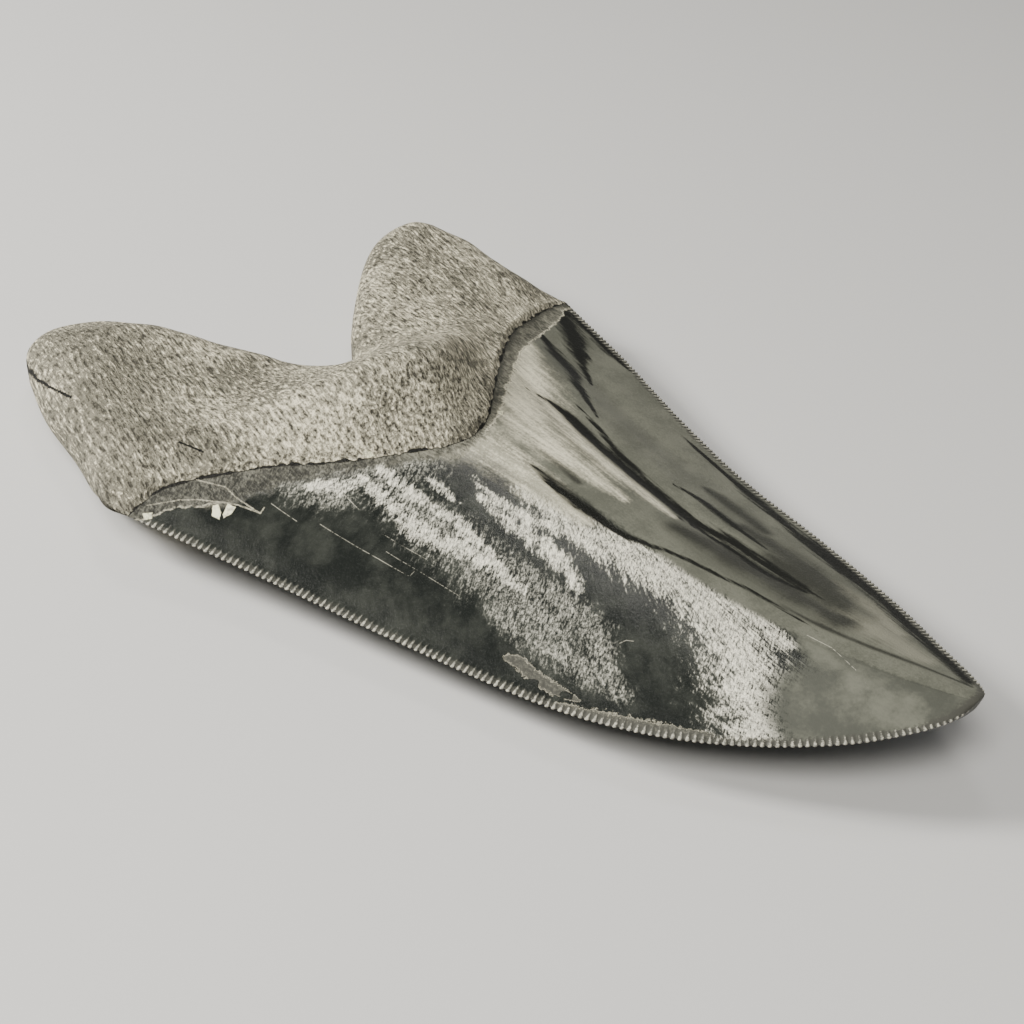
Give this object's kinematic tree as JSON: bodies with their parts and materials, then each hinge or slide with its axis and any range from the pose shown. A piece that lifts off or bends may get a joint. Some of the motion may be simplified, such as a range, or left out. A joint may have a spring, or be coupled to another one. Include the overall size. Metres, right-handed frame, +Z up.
{
  "type": "fossil shark tooth",
  "caption": "Large triangular fossil shark tooth with finely serrated cutting edges, a glossy crown and a thick rough root with two lobes, lying flat.",
  "frame": {"origin": "middle of the bounding box in plan, on the surface that the tooth lies on", "axes": "+X towards the tip, +Y towards the far shoulder, +Z up from the lip-side face to the tongue-side face"},
  "size_m": [0.1466, 0.093, 0.023],
  "materials": {
    "fossil_tooth": "dark glossy enamel crown, matte grey-brown root"
  },
  "bodies": {
    "root": {"megalodon_tooth": "fossil_tooth"}
  },
  "joints": []
}
